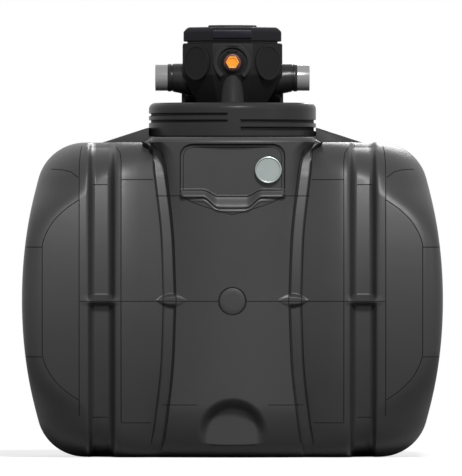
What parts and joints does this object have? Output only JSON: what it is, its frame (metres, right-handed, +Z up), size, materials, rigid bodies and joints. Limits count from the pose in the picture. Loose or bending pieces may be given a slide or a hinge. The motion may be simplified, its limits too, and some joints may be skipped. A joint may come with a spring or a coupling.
{
  "type": "underground water tank",
  "caption": "Drum-sided plastic water tank for burying, with a ribbed two-part shell, a round neck and a filter turret with lid, plug and pipe stubs.",
  "frame": {"origin": "centre of the flat base, at floor level", "axes": "+Z up, -Y is the front with the label pad, +X towards the outlet pipe"},
  "size_m": [1.76, 1.3, 1.815],
  "materials": {
    "tank_plastic": "matte",
    "housing_plastic": "satin",
    "pipe_plastic": "satin",
    "seal_rubber": "matte",
    "plug_plastic": "satin",
    "plate_metal": "satin"
  },
  "bodies": {
    "root": {"back_left_blank_cover": "housing_plastic", "back_right_blank_cover": "housing_plastic", "front_left_blank_cover": "housing_plastic", "front_right_blank_cover": "housing_plastic", "hex_plug": "plug_plastic", "housing_back_rim": "housing_plastic", "housing_body": "housing_plastic", "housing_foot": "housing_plastic", "housing_lid": "housing_plastic", "inlet_pipe": "pipe_plastic", "inlet_ring": "seal_rubber", "inlet_sleeve": "housing_plastic", "lid_centre": "housing_plastic", "lid_latch": "housing_plastic", "lid_seal": "seal_rubber", "lower_back_wall": "tank_plastic", "lower_front_wall": "tank_plastic", "lower_left_end": "tank_plastic", "lower_right_end": "tank_plastic", "neck_collar": "housing_plastic", "neck_cover": "housing_plastic", "outlet_pipe": "pipe_plastic", "outlet_ring": "seal_rubber", "outlet_sleeve": "housing_plastic", "plug_boss": "housing_plastic", "plug_ring": "housing_plastic", "riser_tube": "housing_plastic", "round_plate": "plate_metal", "seam_disc": "tank_plastic", "tank_floor": "tank_plastic", "tank_roof": "tank_plastic", "upper_back_wall": "tank_plastic", "upper_front_wall": "tank_plastic", "upper_left_end": "tank_plastic", "upper_right_end": "tank_plastic"}
  },
  "joints": []
}
